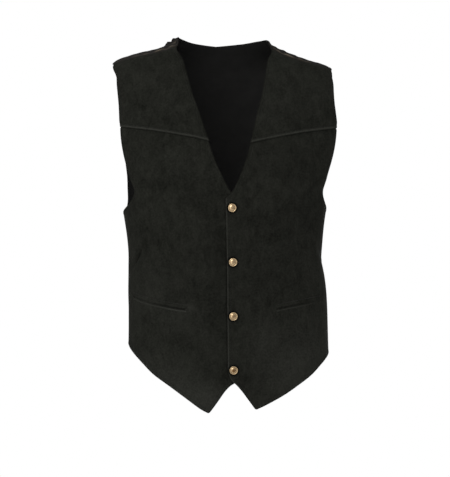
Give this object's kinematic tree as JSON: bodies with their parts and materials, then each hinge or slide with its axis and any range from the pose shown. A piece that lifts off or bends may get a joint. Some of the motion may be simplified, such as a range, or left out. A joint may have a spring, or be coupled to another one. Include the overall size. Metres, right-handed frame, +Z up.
{
  "type": "suede vest",
  "caption": "Sleeveless suede vest in its worn, hollow form: V neck, yoked fronts closed by a row of snaps, welt pockets, pointed front hem and a satin back.",
  "frame": {"origin": "between the shoulders, level with the neck ends of the shoulder seams, on the upright axis of the worn form", "axes": "+Z up, the front faces -Y, +X is the left side as worn"},
  "size_m": [0.42, 0.2437, 0.7008],
  "materials": {
    "suede": "black suede, matte napped face",
    "satin": "black satin, soft sheen",
    "snap_metal": "antiqued, rubbed bright on the rim"
  },
  "bodies": {
    "root": {"front_right": "suede", "front_right_yoke": "suede", "front_left": "suede", "front_left_yoke": "suede", "back": "satin", "welt_right": "suede", "welt_left": "suede", "snap_cap_1": "snap_metal", "snap_cap_2": "snap_metal", "snap_cap_3": "snap_metal", "snap_cap_4": "snap_metal", "snap_stud_1": "snap_metal", "snap_stud_2": "snap_metal", "snap_stud_3": "snap_metal", "snap_stud_4": "snap_metal", "snap_post_1": "snap_metal", "snap_post_2": "snap_metal", "snap_post_3": "snap_metal", "snap_post_4": "snap_metal"}
  },
  "joints": []
}
